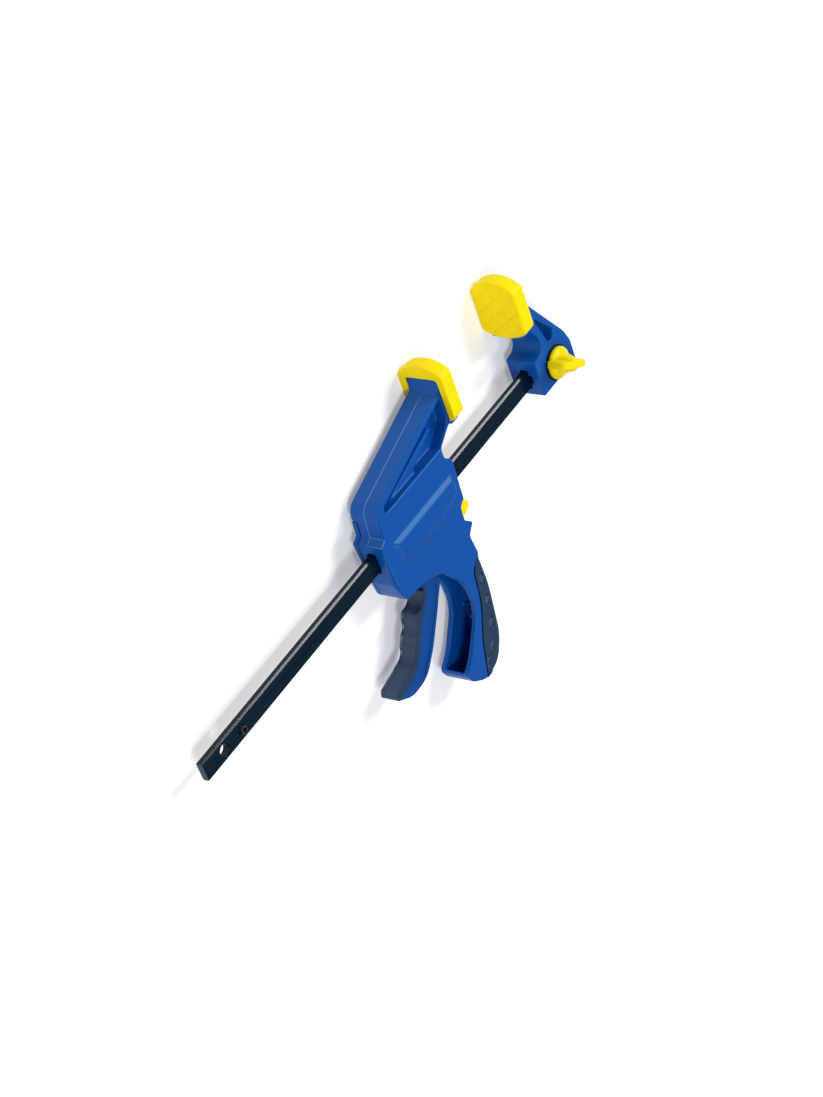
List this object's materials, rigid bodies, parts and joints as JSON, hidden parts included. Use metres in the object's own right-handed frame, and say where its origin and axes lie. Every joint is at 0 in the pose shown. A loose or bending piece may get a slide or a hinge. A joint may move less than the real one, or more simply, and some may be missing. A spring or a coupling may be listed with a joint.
{
  "type": "quick release bar clamp",
  "caption": "One-handed bar clamp with pistol grip, squeeze trigger, release button, soft slip-on jaw pads and a fixed jaw held by a wing knob.",
  "frame": {"origin": "centre of the jaw hole at the bar's free end, in the bar's mid-plane", "axes": "+X along the bar towards the fixed jaw, +Y the way the jaws reach, +Z through the bar's thickness towards the ribbed side and the knob"},
  "size_m": [0.3875, 0.2031, 0.0421],
  "materials": {
    "blue_plastic": "moulded blue plastic, half gloss",
    "yellow_plastic": "moulded yellow plastic, half gloss",
    "yellow_pad": "soft yellow rubber, satin",
    "grip_rubber": "dark overmoulded rubber, satin",
    "bar_steel": "black painted steel, glossy",
    "pins": "zinc plated",
    "screws": "zinc plated",
    "plates": "ground steel",
    "springs": "drawn spring wire"
  },
  "bodies": {
    "casing": {"body_shell": "blue_plastic", "side_cover": "blue_plastic", "cover_screws": "screws", "handle_grip": "grip_rubber", "moving_jaw_pad": "yellow_pad", "trigger_pin": "pins", "drive_spring": "springs", "brake_spring": "springs"},
    "bar_assembly": {"bar": "bar_steel", "stop_pin": "pins", "fixed_jaw": "blue_plastic", "fixed_jaw_pad": "yellow_pad", "jaw_nut": "pins"},
    "knob_washer": {"jaw_washer": "bar_steel"},
    "wing_knob": {"jaw_knob": "yellow_plastic", "jaw_screw": "pins"},
    "trigger_lever": {"trigger": "blue_plastic", "trigger_grip": "grip_rubber"},
    "drive_pair": {"front_drive_plate": "plates", "rear_drive_plate": "plates"},
    "brake": {"brake_plate": "plates", "release_button": "yellow_plastic"}
  },
  "joints": [
    {"name": "bar_slide", "type": "slide", "parent": "casing", "child": "bar_assembly", "axis": [1, 0, 0], "range_m": [-0.0706, 0.1358]},
    {"name": "trigger_squeeze", "type": "hinge", "parent": "casing", "child": "trigger_lever", "pos_m": [0.191, -0.019, 0], "axis": [0, 0, 1], "range_deg": [0, 28], "stiffness_Nm_per_rad": 0.5, "springref_deg": -17.19},
    {"name": "drive_plates_shift", "type": "slide", "parent": "casing", "child": "drive_pair", "axis": [-1, 0, 0], "range_m": [0, 0.0093], "deforming": ["drive_spring"]},
    {"name": "release_press", "type": "hinge", "parent": "casing", "child": "brake", "pos_m": [0.2225, 0.0115, 0], "axis": [0, 0, -1], "range_deg": [0, 7], "stiffness_Nm_per_rad": 0.3, "springref_deg": -11.46},
    {"name": "jaw_screw_lift", "type": "slide", "parent": "bar_assembly", "child": "knob_washer", "axis": [0, 0, 1], "range_m": [0, 0.00301]},
    {"name": "jaw_knob_turn", "type": "hinge", "parent": "knob_washer", "child": "wing_knob", "pos_m": [0.35, 0, 0], "axis": [0, 0, 1], "range_deg": [0, 1080]}
  ],
  "couplings": [
    {"joint": "drive_plates_shift", "follows": "trigger_squeeze", "m_per_rad": 0.019},
    {"joint": "jaw_screw_lift", "follows": "jaw_knob_turn", "m_per_rad": 0.00015915}
  ]
}
